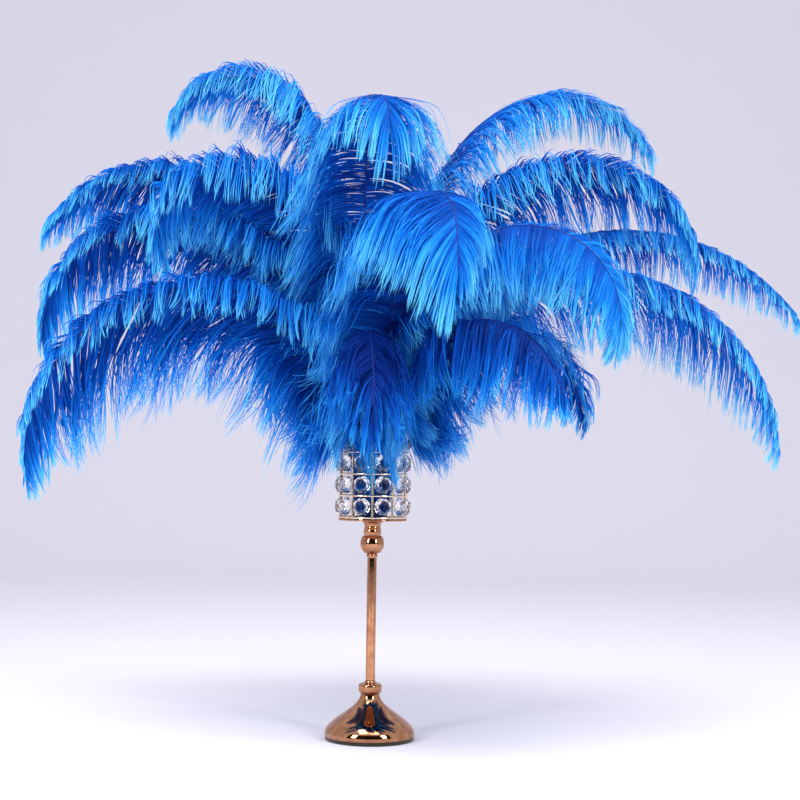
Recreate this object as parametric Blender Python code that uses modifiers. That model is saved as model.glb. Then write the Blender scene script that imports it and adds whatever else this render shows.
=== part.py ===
"""A bouquet of dyed ostrich plumes standing in a crystal cup on a candlestick stand.

The stand is turned and plated metal: a felt pad, a bell-shaped base, a collar, a tube, a ball
knob, a neck and a plate. A wire cage of five rings and ten bars stands on the plate and holds
four rows of ten cut crystals. Twenty plumes stand in the cup with their quills on the plate.

Metres, +Z up. The origin is the middle of the pad's underside, where the stand meets a table.
"""

import math
from dataclasses import dataclass

import bmesh
import bpy
import numpy as np
from mathutils import Matrix
from mathutils.bvhtree import BVHTree

# ---------------------------------------------------------------- driving dimensions, metres
GAP = 0.0003  # between pieces that touch

PAD_RADIUS = 0.0583
PAD_THICKNESS = 0.0045

BASE_RADIUS = 0.0592
BASE_RIM_HEIGHT = 0.0035  # of the upright rim below the ogee
BASE_TOP = 0.0590
BASE_NECK_RADIUS = 0.0125
BASE_WALL = 0.0020
BASE_BORE = 0.0050
BASE_RINGS = 8  # points down the ogee

COLLAR_RADIUS = 0.0155
BEAD_ROUND = 0.0030  # how far the bead's round edge stands out
BEAD_TURN = 75  # degrees that the round edge turns above and below its widest line
BEAD_TOP = 0.0730
WAIST_RADIUS = 0.0075  # the small rings at both ends of the tube
WAIST_CHAMFER = 0.0008
COLLAR_TOP = 0.0765

TUBE_RADIUS = 0.0062
TUBE_WALL = 0.0012
TUBE_TOP = 0.2365

KNOB_LOW = 0.2430
KNOB_RADIUS = 0.0158
KNOB_TOP = 0.2662
KNOB_FLAT = 64  # degrees above and below the middle where the ball is cut flat
NECK_RADIUS = 0.0108
NECK_WAIST = 0.0009  # how far the neck draws in
FLARE_RADIUS = 0.0160
NECK_TOP = 0.2857

PLATE_RADIUS = 0.0455
PLATE_TOP = 0.2885

CAGE_RADIUS = 0.0445  # to the middle of the wire
WIRE_RADIUS = 0.0015
BAR_RADIUS = 0.0014
RING_PITCH = 0.0285
RING_COUNT = 5
BAR_COUNT = 10
WIRE_SIDES = 4

CRYSTAL_HALF_HEIGHT = 0.0124
CRYSTAL_INNER = 0.0385
CRYSTAL_OUTER = 0.0505
CRYSTAL_BEHIND_BAR = 0.0420  # outer radius of a row where it passes behind a bar
CRYSTAL_SHOULDER = math.radians(6.4)  # half the arc of a crystal's flat front

TURN_STEPS = 18  # flats around a turned piece
EDGE_CHAMFER = 0.0005

QUILL_RADIUS = 0.0018  # at the foot
RACHIS_TIP_RADIUS = 0.0007
SHEET_HALF = 0.0007  # half the thickness of a vane beside its shaft
SHEET_EDGE_HALF = 0.0004
SHAFT_STATIONS = 81  # places worked out along a free shaft
EASE_SHARE = 0.35  # share of the free shaft over which it turns from its slot to its heading
VANE_STATIONS = 9
VANE_START = 0.05  # share of the free shaft that is bare above the cup
CLEARANCE = 0.0011  # kept around each plume while its vane is fitted
SHAFT_CLEARANCE = 0.0010  # kept besides around the shafts of the plumes still to come
LEAST_REACH = 0.02  # share of a barb that is always kept
TRIM = 0.80  # each trim leaves this share of a vane's width
FIT_ROUNDS = 60

# barb shape
BARB_SLANT = math.radians(42)  # between a barb's root and its shaft
BARB_DIP = math.radians(-8)  # below the plane of the vane
BARB_SAG = 1.6  # pull of gravity at a barb's tip, against its own stiffness
BARB_POINTS = 13

FOOT_HEIGHT = PLATE_TOP + GAP
RIM_HEIGHT = PLATE_TOP + GAP + WIRE_RADIUS + RING_PITCH * (RING_COUNT - 1)
# radius of the quill circle on the plate, and at the rim
QUILL_CIRCLES = {"outer": (0.017, 0.034), "inner": (0.009, 0.020)}


@dataclass(frozen=True)
class Plume:
    """One feather: where its quill stands and how its shaft bends. Angles are in degrees."""

    name: str
    circle: str  # quill circle, outer or inner
    slot: float  # direction of its place on that circle
    heading: float  # direction that it leans in
    length: float  # metres, quill foot to shaft tip
    tip_slope: float  # of the shaft at its tip, above the horizontal
    bend: float  # 1 bends evenly, more bends nearer the tip
    swing: float  # sideways turn of the heading at the tip
    roll_root: float  # turn of the vane about its shaft
    roll_tip: float
    barb: float  # longest barb, metres


PLUMES = (
    Plume("plume_front", "outer", 285, 292, 0.675, -92, 1.90, -15, 0, 0, 0.125),
    Plume("plume_right_front", "inner", 315, 328, 0.695, -98, 1.60, 6, -20, -35, 0.120),
    Plume("plume_left_low", "outer", 225, 198, 0.775, -95, 0.97, -15, -55, -45, 0.160),
    Plume("plume_right_low", "outer", 345, 355, 0.825, -82, 1.00, 0, 20, 20, 0.135),
    Plume("plume_left_middle", "inner", 190, 196, 0.675, -100, 2.60, -5, -60, -50, 0.120),
    Plume("plume_top", "inner", 240, 265, 0.660, -85, 4.50, 25, 0, 0, 0.125),
    Plume("plume_right_high", "inner", 0, 6, 0.820, -75, 1.80, 0, 55, 30, 0.125),
    Plume("plume_top_left", "inner", 140, 140, 0.800, -60, 3.60, 35, -50, -45, 0.115),
    Plume("plume_top_right", "inner", 35, 36, 0.880, -50, 2.30, -20, 10, 10, 0.110),
    Plume("plume_left_far", "outer", 165, 170, 0.765, -50, 1.70, 10, -75, -60, 0.115),
    Plume("plume_left_back", "outer", 195, 176, 0.780, -90, 1.50, 5, -75, -55, 0.120),
    Plume("plume_right_far", "outer", 15, 12, 0.860, -46, 1.00, 0, 10, 10, 0.110),
    Plume("plume_front_right_low", "outer", 315, 308, 0.540, -65, 0.95, 0, 10, 0, 0.135),
    Plume("plume_front_low", "outer", 255, 275, 0.480, -85, 1.10, 0, 0, 0, 0.120),
    Plume("plume_back_high", "inner", 105, 88, 0.680, -70, 2.00, 0, 0, 0, 0.120),
    Plume("plume_back_right_high", "inner", 70, 62, 0.700, -80, 1.50, 0, 0, 0, 0.120),
    Plume("plume_back_left", "outer", 135, 146, 0.680, -80, 1.40, 0, 0, 0, 0.120),
    Plume("plume_back_left_low", "outer", 105, 115, 0.700, -85, 1.20, 0, 0, 0, 0.120),
    Plume("plume_back_right_low", "outer", 45, 35, 0.620, -80, 1.10, 0, 0, 0, 0.120),
    Plume("plume_back_low", "outer", 75, 80, 0.520, -65, 1.00, 0, 0, 0, 0.120),
)


# ---------------------------------------------------------------- scene helpers
def clear_scene():
    """Removes every object that the file starts with."""
    for old in list(bpy.data.objects):
        bpy.data.objects.remove(old, do_unlink=True)


def collection(name):
    """A new collection under the scene."""
    made = bpy.data.collections.new(name)
    bpy.context.scene.collection.children.link(made)
    return made


def material(name, colour, roughness, metallic):
    """A Principled material with one colour."""
    made = bpy.data.materials.new(name)
    made.use_nodes = True
    shader = made.node_tree.nodes["Principled BSDF"]
    shader.inputs["Base Color"].default_value = (*colour, 1.0)
    shader.inputs["Roughness"].default_value = roughness
    shader.inputs["Metallic"].default_value = metallic
    made.diffuse_color = (*colour, 1.0)
    return made


def add_object(name, mesh, into, finish):
    """Puts a mesh in the scene as a named piece."""
    piece = bpy.data.objects.new(name, mesh)
    if finish is not None:
        mesh.materials.append(finish)
    into.objects.link(piece)
    return piece


def mesh_from(name, verts, faces):
    """A mesh with its faces pointing out."""
    mesh = bpy.data.meshes.new(name)
    mesh.from_pydata([tuple(v) for v in verts], [], faces)
    shape = bmesh.new()
    shape.from_mesh(mesh)
    bmesh.ops.recalc_face_normals(shape, faces=shape.faces)
    if shape.calc_volume(signed=True) < 0.0:
        bmesh.ops.reverse_faces(shape, faces=shape.faces)
    shape.to_mesh(mesh)
    shape.free()
    return mesh


# ---------------------------------------------------------------- turned pieces
def turned(name, outline, into, finish, closed=False):
    """A piece turned about Z from an outline that runs down its outer side.

    An open outline starts and ends on the axis. A closed one is a ring with a hole through it.
    """
    count = len(outline)
    links = [(i, i + 1) for i in range(count - 1)]
    if closed:
        links.append((count - 1, 0))
    mesh = bpy.data.meshes.new(name)
    mesh.from_pydata([(r, 0.0, z) for r, z in outline], links, [])
    piece = add_object(name, mesh, into, finish)
    screw = piece.modifiers.new("turn", "SCREW")
    screw.steps = TURN_STEPS
    screw.render_steps = TURN_STEPS
    screw.use_merge_vertices = True
    screw.merge_threshold = 0.00001
    screw.use_smooth_shade = True
    return piece


def arc(centre, radius, start, end, steps):
    """Points on a circle in the outline's plane, from one angle to another, in degrees."""
    turn = np.radians(np.linspace(start, end, steps))
    return [(centre[0] + radius * math.cos(a), centre[1] + radius * math.sin(a)) for a in turn]


def base_outline():
    """The bell of the base: an ogee that rounds over at the rim, hollow, with a bored neck."""
    floor = PAD_THICKNESS + GAP
    shoulder = floor + BASE_RIM_HEIGHT
    fall = np.linspace(1.0, 0.0, BASE_RINGS)
    height = shoulder + (BASE_TOP - shoulder) * fall
    wave = (1.0 + np.cos(math.pi * fall)) / 2.0
    radius = BASE_NECK_RADIUS + (BASE_RADIUS - BASE_NECK_RADIUS) * wave
    outer = list(zip(radius, height))
    rim = [(BASE_RADIUS - EDGE_CHAMFER, floor)]
    inner = [(BASE_RADIUS - BASE_WALL, floor)]
    inner += [(r - 1.3 * BASE_WALL, z - BASE_WALL) for r, z in outer[5:1:-1]]
    bore = [(BASE_BORE, outer[2][1] - BASE_WALL), (BASE_BORE, BASE_TOP)]
    return outer + rim + inner + bore


def collar_outline():
    """The bead between base and tube, with a small ring on top."""
    low = BASE_TOP + GAP
    half = (BEAD_TOP - low) / 2
    bead = [
        (COLLAR_RADIUS - BEAD_ROUND + r * BEAD_ROUND / half, z)
        for r, z in arc((0.0, low + half), half, BEAD_TURN, -BEAD_TURN, 6)
    ]
    drawn_in = WAIST_RADIUS - WAIST_CHAMFER
    ring = [(0.0, COLLAR_TOP), (drawn_in, COLLAR_TOP), (WAIST_RADIUS, (BEAD_TOP + COLLAR_TOP) / 2)]
    return [*ring, (drawn_in, BEAD_TOP), *bead, (0.0, low)]


def tube_outline():
    """The upright tube, a straight hollow pipe."""
    low = COLLAR_TOP + GAP
    inner = TUBE_RADIUS - TUBE_WALL
    return [(TUBE_RADIUS, TUBE_TOP), (TUBE_RADIUS, low), (inner, low), (inner, TUBE_TOP)]


def knob_outline():
    """The ball knob on a small ring."""
    low = TUBE_TOP + GAP
    half = (KNOB_TOP - KNOB_LOW) / 2
    middle = KNOB_LOW + half
    flat = math.radians(KNOB_FLAT)
    turn = np.linspace(flat, -flat, 7)
    ball = [(KNOB_RADIUS * math.cos(a), middle + half * math.sin(a) / math.sin(flat)) for a in turn]
    ring = [(WAIST_RADIUS, KNOB_LOW - WAIST_CHAMFER), (WAIST_RADIUS, low + WAIST_CHAMFER)]
    return [(0.0, KNOB_TOP), *ball, *ring, (WAIST_RADIUS - WAIST_CHAMFER, low), (0.0, low)]


def neck_outline():
    """The neck: a waisted barrel with a flare out under the plate."""
    low = KNOB_TOP + GAP
    run = np.linspace(0.0, 1.0, 6)
    barrel = NECK_RADIUS - NECK_WAIST * np.sin(2.0 * math.pi * run)
    flare = barrel + (FLARE_RADIUS - NECK_RADIUS) * (1.0 - run) ** 5
    height = NECK_TOP + (low - NECK_TOP) * run
    return [(0.0, NECK_TOP), *zip(flare, height), (0.0, low)]


def disc_outline(radius, low, high):
    """A flat disc with a small chamfer around both faces."""
    return [
        (0.0, high),
        (radius - EDGE_CHAMFER, high),
        (radius, high - EDGE_CHAMFER),
        (radius, low + EDGE_CHAMFER),
        (radius - EDGE_CHAMFER, low),
        (0.0, low),
    ]


# ---------------------------------------------------------------- cup
def build_cage(into, cutters, finish):
    """The wire cage: rings joined to upright bars."""
    low = PLATE_TOP + GAP + WIRE_RADIUS
    height = RING_PITCH * (RING_COUNT - 1)
    bpy.ops.mesh.primitive_torus_add(
        location=(0.0, 0.0, low),
        major_radius=CAGE_RADIUS,
        minor_radius=WIRE_RADIUS,
        major_segments=2 * BAR_COUNT,
        minor_segments=WIRE_SIDES,
    )
    cage = bpy.context.object
    cage.name = "cup_cage"
    cage.data.materials.append(finish)
    for held_by in cage.users_collection:
        held_by.objects.unlink(cage)
    into.objects.link(cage)
    rings = cage.modifiers.new("rings", "ARRAY")
    rings.count = RING_COUNT
    rings.use_relative_offset = False
    rings.use_constant_offset = True
    rings.constant_offset_displace = (0.0, 0.0, RING_PITCH)

    shape = bmesh.new()
    for turn in range(BAR_COUNT):
        around = 2 * math.pi * turn / BAR_COUNT - math.pi / 2
        place = (CAGE_RADIUS * math.cos(around), CAGE_RADIUS * math.sin(around), low + height / 2)
        bmesh.ops.create_cone(
            shape,
            cap_ends=True,
            segments=WIRE_SIDES,
            radius1=BAR_RADIUS,
            radius2=BAR_RADIUS,
            depth=height + BAR_RADIUS,
            matrix=Matrix.Translation(place) @ Matrix.Rotation(around, 4, "Z"),
        )
    mesh = bpy.data.meshes.new("cage_bars")
    shape.to_mesh(mesh)
    shape.free()
    bars = add_object("cage_bars", mesh, cutters, None)
    bars.hide_render = True
    bars.display_type = "WIRE"
    join = cage.modifiers.new("bars", "BOOLEAN")
    join.operation = "UNION"
    join.solver = "EXACT"
    join.object = bars
    return cage


def crystal_section(half_height, inner, outer, angle, middle):
    """Six corners of a row of crystals, cut across at one direction."""
    belt = inner + 0.4 * (outer - inner)
    corners = (
        (inner, 0.55 * half_height),
        (inner, -0.55 * half_height),
        (belt, -half_height),
        (outer, -0.45 * half_height),
        (outer, 0.45 * half_height),
        (belt, half_height),
    )
    c = math.cos(angle)
    s = math.sin(angle)
    return [(r * c, r * s, middle + z) for r, z in corners]


def build_crystal_row(index, into, finish):
    """A row of cut crystals: a band that swells out between each two bars."""
    middle = PLATE_TOP + GAP + WIRE_RADIUS + RING_PITCH * (index + 0.5)
    pitch = 2 * math.pi / BAR_COUNT
    verts = []
    for turn in range(BAR_COUNT):
        bar = pitch * turn - math.pi / 2
        crystal = bar + pitch / 2
        verts += crystal_section(
            0.4 * CRYSTAL_HALF_HEIGHT, CRYSTAL_INNER, CRYSTAL_BEHIND_BAR, bar, middle
        )
        for side in (-CRYSTAL_SHOULDER, CRYSTAL_SHOULDER):
            verts += crystal_section(
                CRYSTAL_HALF_HEIGHT, CRYSTAL_INNER, CRYSTAL_OUTER, crystal + side, middle
            )
    sections = 3 * BAR_COUNT
    faces = []
    for k in range(sections):
        after = (k + 1) % sections
        for j in range(6):
            beside = (j + 1) % 6
            faces.append((6 * k + j, 6 * after + j, 6 * after + beside, 6 * k + beside))
    return add_object(f"crystal_row_{index + 1}", mesh_from("crystal_row", verts, faces), into, finish)


# ---------------------------------------------------------------- plumes
def unit(vectors):
    """Vectors made one long."""
    return vectors / np.linalg.norm(vectors, axis=-1, keepdims=True)


def shaft(plume):
    """The free shaft above the cup's rim, as arrays along it.

    The quill runs straight from its place on the plate to the rim. From there the slope falls
    from the quill's own slope to tip_slope as a power of the distance, while the direction eases
    from the slot to the heading and then swings. Returns the share of the free length, places,
    tangents, sideways and dorsal directions, and the quill's foot.
    """
    foot_radius, rim_radius = QUILL_CIRCLES[plume.circle]
    slot = math.radians(plume.slot)
    outward = np.array([math.cos(slot), math.sin(slot), 0.0])
    foot = foot_radius * outward + np.array([0.0, 0.0, FOOT_HEIGHT])
    rim = rim_radius * outward + np.array([0.0, 0.0, RIM_HEIGHT])
    quill = np.linalg.norm(rim - foot)
    start_slope = math.atan2(RIM_HEIGHT - FOOT_HEIGHT, rim_radius - foot_radius)
    count = SHAFT_STATIONS
    share = np.linspace(0.0, 1.0, count)
    slope = start_slope + (math.radians(plume.tip_slope) - start_slope) * share**plume.bend
    ease = np.clip(share / EASE_SHARE, 0.0, 1.0)
    ease = ease * ease * (3.0 - 2.0 * ease)
    turn = plume.slot + (plume.heading - plume.slot) * ease + plume.swing * share**2
    turn = np.radians(turn)
    tangent = np.stack(
        [np.cos(slope) * np.cos(turn), np.cos(slope) * np.sin(turn), np.sin(slope)], 1
    )
    step = (plume.length - quill) / (count - 1)
    place = np.zeros((count, 3))
    place[0] = rim
    place[1:] = rim + np.cumsum((tangent[1:] + tangent[:-1]) / 2 * step, axis=0)
    dorsal = np.stack(
        [-np.sin(slope) * np.cos(turn), -np.sin(slope) * np.sin(turn), np.cos(slope)], 1
    )
    across = np.stack([np.sin(turn), -np.cos(turn), np.zeros(count)], 1)
    roll = np.radians(plume.roll_root + (plume.roll_tip - plume.roll_root) * share)[:, None]
    sideways = across * np.cos(roll) + dorsal * np.sin(roll)
    dorsal = dorsal * np.cos(roll) - across * np.sin(roll)
    return share, place, tangent, sideways, dorsal, foot


def barb_length(share):
    """Length of the barbs along the shaft, as a share of the longest: short at both ends."""
    grown = 0.40 + 0.60 * np.clip(share / 0.35, 0.0, 1.0) ** 0.7
    tapered = 1.0 - 0.55 * np.clip((share - 0.65) / 0.35, 0.0, 1.0) ** 1.5
    return grown * tapered


def barb_paths(plume, side, shares):
    """Barbs on one side of the shaft, each a row of points from its root to its tip.

    A barb leaves the shaft at its slant, a little below the vane's plane, and gravity turns it
    down more and more towards its tip.
    """
    share, place, tangent, sideways, dorsal, _ = shaft(plume)
    at = [int(round(s * (len(share) - 1))) for s in shares]
    root = place[at]
    lean = side * sideways[at] * math.cos(BARB_DIP) + dorsal[at] * math.sin(BARB_DIP)
    start = math.cos(BARB_SLANT) * tangent[at] + math.sin(BARB_SLANT) * lean
    along = np.linspace(0.0, 1.0, BARB_POINTS)
    pull = BARB_SAG * along**1.2
    way = unit(start[:, None, :] + pull[None, :, None] * np.array([0.0, 0.0, -1.0]))
    step = plume.barb * barb_length(share[at]) / (BARB_POINTS - 1)
    paths = np.repeat(root[:, None, :], BARB_POINTS, axis=1)
    paths[:, 1:] += np.cumsum((way[:, 1:] + way[:, :-1]) / 2, axis=1) * step[:, None, None]
    return paths


def along_path(path, reach):
    """The place at a share of a barb's length."""
    at = reach * (len(path) - 1)
    low = min(int(at), len(path) - 2)
    return path[low] + (path[low + 1] - path[low]) * (at - low)


class PlumeShape:
    """The closed solid of one plume: a bare quill that opens into a thin drooping vane."""

    LOOP = 10
    SIDE_OF_EDGE = (0, 0, 1, 1, 1, 1, 1, 0, 0, 0)

    def __init__(self, plume):
        self.plume = plume
        shares = np.linspace(VANE_START, 1.0, VANE_STATIONS)
        share, place, tangent, sideways, dorsal, foot = shaft(plume)
        at = [int(round(s * (len(share) - 1))) for s in shares]
        self.centres = np.vstack([foot, place[0], place[at]])
        self.dorsal = np.vstack([dorsal[0], dorsal[0], dorsal[at]])
        self.sideways = np.vstack([sideways[0], sideways[0], sideways[at]])
        self.barbs = (barb_paths(plume, -1, shares), barb_paths(plume, 1, shares))
        self.tangent = tangent[at]
        self.reach = np.ones((2, VANE_STATIONS))

    def radius(self, section):
        """Radius of the shaft at a section."""
        share = section / (len(self.centres) - 1)
        return QUILL_RADIUS + (RACHIS_TIP_RADIUS - QUILL_RADIUS) * share

    def half_loop(self, section, side, spare):
        """Centre, middle and edge of one half of a section, on its upper and lower faces."""
        centre = self.centres[section]
        radius = self.radius(section) + spare
        sign = 1 if side else -1
        if section < 2:
            out = sign * self.sideways[section]
            up = self.dorsal[section]
            middle = centre + out * 0.75 * radius
            edge = centre + out * radius
            return (
                (middle + up * 0.7 * radius, edge + up * 0.3 * radius),
                (middle - up * 0.7 * radius, edge - up * 0.3 * radius),
            )
        station = section - 2
        path = self.barbs[side][station]
        reach = self.reach[side, station]
        middle = along_path(path, 0.5 * reach)
        edge = along_path(path, reach)
        chord = unit(edge - centre)
        up = unit(np.cross(chord, self.tangent[station]) * sign)
        return (
            (middle + up * (SHEET_HALF + spare), edge + up * (SHEET_EDGE_HALF + spare)),
            (middle - up * (SHEET_HALF + spare), edge - up * (SHEET_EDGE_HALF + spare)),
        )

    def loft(self, spare=0.0):
        """Corners and faces of the solid, made thicker all round by spare."""
        verts = []
        for section, centre in enumerate(self.centres):
            left_top, left_low = self.half_loop(section, 0, spare)
            right_top, right_low = self.half_loop(section, 1, spare)
            rise = self.dorsal[section] * max(self.radius(section) + spare, SHEET_HALF + spare)
            verts += [left_top[1], left_top[0], centre + rise, right_top[0], right_top[1]]
            verts += [right_low[1], right_low[0], centre - rise, left_low[0], left_low[1]]
        faces = []
        last = len(self.centres) - 1
        n = self.LOOP
        for k in range(last):
            for j in range(n):
                beside = (j + 1) % n
                near = (n * k + j, n * k + beside)
                far = (n * k + n + j, n * k + n + beside)
                # the twisted quads above and below split along the same diagonal
                if j < n // 2:
                    faces += [(near[0], near[1], far[1]), (near[0], far[1], far[0])]
                else:
                    faces += [(near[0], near[1], far[0]), (near[1], far[1], far[0])]
        for first in (0, n * last):
            for j in range(4):
                faces.append((first + j, first + j + 1, first + 8 - j, first + 9 - j))
        return verts, faces

    def tree(self, spare=0.0):
        """A search tree of the solid's faces."""
        verts, faces = self.loft(spare)
        return BVHTree.FromPolygons([tuple(v) for v in verts], faces)

    def bare(self):
        """A search tree of the shaft alone."""
        kept = self.reach.copy()
        self.reach[:] = LEAST_REACH
        tree = self.tree(SHAFT_CLEARANCE)
        self.reach = kept
        return tree

    def fit(self, obstacles):
        """Shortens the vane's halves, station by station, until they clear every obstacle."""
        for _ in range(FIT_ROUNDS):
            tree = self.tree(CLEARANCE)
            hit = {pair[0] for other in obstacles for pair in tree.overlap(other)}
            stations = set()
            for face in hit:
                section = face // (2 * self.LOOP)
                side = self.SIDE_OF_EDGE[face // 2 % self.LOOP]
                if section >= len(self.centres) - 1:
                    stations |= {(0, VANE_STATIONS - 1), (1, VANE_STATIONS - 1)}
                    continue
                stations |= {(side, s) for s in (section - 2, section - 1) if s >= 0}
            stations = {(side, s) for side, s in stations if self.reach[side, s] > LEAST_REACH}
            if not stations:
                break
            for side, s in stations:
                self.reach[side, s] = max(TRIM * self.reach[side, s], LEAST_REACH)


def build_plumes(into, finish, stand_trees):
    """Every plume, each fitted clear of the stand and of the plumes already built."""
    shapes = [PlumeShape(plume) for plume in PLUMES]
    shafts = [shape.bare() for shape in shapes]
    grown = []
    for i, shape in enumerate(shapes):
        others = [tree for j, tree in enumerate(shafts) if j > i]
        shape.fit([*stand_trees, *grown, *others])
        grown.append(shape.tree())
        verts, faces = shape.loft()
        add_object(shape.plume.name, mesh_from(shape.plume.name, verts, faces), into, finish)


# ---------------------------------------------------------------- the whole object
def main():
    """Builds the stand, the cup and the plumes."""
    clear_scene()
    parts = collection("ostrich_plume_centrepiece")
    cutters = collection("cutters")
    felt = material("black_felt", (0.010, 0.007, 0.007), 0.95, 0.0)
    metal = material("rose_gold_plate", (0.60, 0.32, 0.20), 0.16, 1.0)
    crystal = material("cut_crystal", (0.90, 0.90, 0.92), 0.05, 0.0)
    down = material("blue_dyed_feather", (0.004, 0.130, 0.680), 0.70, 0.0)

    turned("felt_pad", disc_outline(PAD_RADIUS, 0.0, PAD_THICKNESS), parts, felt)
    turned("base_shell", base_outline(), parts, metal, closed=True)
    turned("base_collar", collar_outline(), parts, metal)
    turned("stem_tube", tube_outline(), parts, metal, closed=True)
    turned("ball_knob", knob_outline(), parts, metal)
    turned("cup_neck", neck_outline(), parts, metal)
    turned("cup_plate", disc_outline(PLATE_RADIUS, NECK_TOP + GAP, PLATE_TOP), parts, metal)
    cage = build_cage(parts, cutters, metal)
    rows = [build_crystal_row(i, parts, crystal) for i in range(RING_COUNT - 1)]

    bpy.context.view_layer.update()
    view = bpy.context.evaluated_depsgraph_get()
    stand_trees = [BVHTree.FromObject(piece, view) for piece in (cage, *rows)]
    build_plumes(parts, down, stand_trees)


main()
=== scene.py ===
"""Looks of a bouquet of dyed ostrich plumes in a crystal cup on a rose-gold candlestick stand.

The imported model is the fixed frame: metres, +Z up, the origin under the middle of the felt pad. Each
sub-assembly is a class that builds its surfaces with numpy and dresses them with a finish.
"""

import sys
import logging
import math
from dataclasses import dataclass, field
from enum import Enum

import bpy
import numpy as np
from mathutils import Matrix, Vector


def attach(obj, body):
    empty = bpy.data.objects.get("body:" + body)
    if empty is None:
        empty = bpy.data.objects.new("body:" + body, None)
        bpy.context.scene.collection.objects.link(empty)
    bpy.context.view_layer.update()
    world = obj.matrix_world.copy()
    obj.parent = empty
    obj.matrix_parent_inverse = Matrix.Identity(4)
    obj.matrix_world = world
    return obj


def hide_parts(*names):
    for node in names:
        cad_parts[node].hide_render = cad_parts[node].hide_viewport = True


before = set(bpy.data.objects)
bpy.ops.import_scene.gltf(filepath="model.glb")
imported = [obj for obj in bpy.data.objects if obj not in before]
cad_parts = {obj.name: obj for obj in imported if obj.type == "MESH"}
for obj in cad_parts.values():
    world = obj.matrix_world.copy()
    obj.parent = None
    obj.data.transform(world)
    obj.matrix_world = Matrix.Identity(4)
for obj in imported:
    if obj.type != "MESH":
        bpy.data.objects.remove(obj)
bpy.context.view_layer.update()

log = logging.getLogger("centrepiece")

Array = np.ndarray
Material = bpy.types.Material
Piece = bpy.types.Object
Socket = bpy.types.NodeSocket
Tree = bpy.types.NodeTree
DOWN = np.array([0.0, 0.0, -1.0])
MM_IN_METRE = 1000.0
CREASE = 40.0


# ---------------------------------------------------------------- shared tools
def linear(code: str) -> tuple[float, float, float, float]:
    """Turns an sRGB hex colour into the linear values that a shader takes.

    Args:
        code: The colour as "#rrggbb".

    Returns:
        Red, green, blue and an alpha of one.
    """
    parts = [int(code[i : i + 2], 16) / 255 for i in (1, 3, 5)]
    light = [c / 12.92 if c <= 0.04045 else ((c + 0.055) / 1.055) ** 2.4 for c in parts]
    return (*light, 1.0)


def add_node(
    tree: Tree, kind: str, inputs: dict | None = None, stops: tuple = (), **settings: object
) -> bpy.types.Node:
    """Adds a node to a material.

    Args:
        tree: The material's node tree.
        kind: The node's type name, less its prefix.
        inputs: Value or output socket for each input, by its name or number.
        stops: Places and hex colours of a colour ramp.
        **settings: Properties of the node itself.

    Returns:
        The new node.
    """
    node = tree.nodes.new(f"ShaderNode{kind}")
    for key, value in settings.items():
        setattr(node, key, value)
    for key, value in (inputs or {}).items():
        if isinstance(value, Socket):
            tree.links.new(value, node.inputs[key])
        else:
            node.inputs[key].default_value = value
    for index, (place, code) in enumerate(stops):
        ramp = node.color_ramp.elements
        stop = ramp[index] if index < len(ramp) else ramp.new(place)
        stop.position = place
        stop.color = linear(code)
    return node


def unit(vectors: Array) -> Array:
    """Vectors made one long."""
    return vectors / np.maximum(np.linalg.norm(vectors, axis=-1, keepdims=True), 1e-12)


def smooth_step(x: Array) -> Array:
    """Eases from 0 to 1: three x squared less two x cubed, held at both ends."""
    held = np.clip(x, 0.0, 1.0)
    return held * held * (3.0 - 2.0 * held)


def grid_faces(rows: int, columns: int, wrap_rows: bool = False, wrap_columns: bool = True) -> Array:
    """Quads over a grid of points numbered row by row.

    Args:
        rows: Number of rows of points.
        columns: Number of points in a row.
        wrap_rows: Joins the last row to the first.
        wrap_columns: Joins the last column to the first.

    Returns:
        Four point numbers for each quad.
    """
    i = np.arange(rows if wrap_rows else rows - 1)[:, None]
    j = np.arange(columns if wrap_columns else columns - 1)[None, :]
    after = (i + 1) % rows
    beside = (j + 1) % columns
    corners = [i * columns + j, i * columns + beside, after * columns + beside, after * columns + j]
    return np.stack([np.broadcast_to(c, (i.size, j.size)) for c in corners], -1).reshape(-1, 4)


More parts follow.
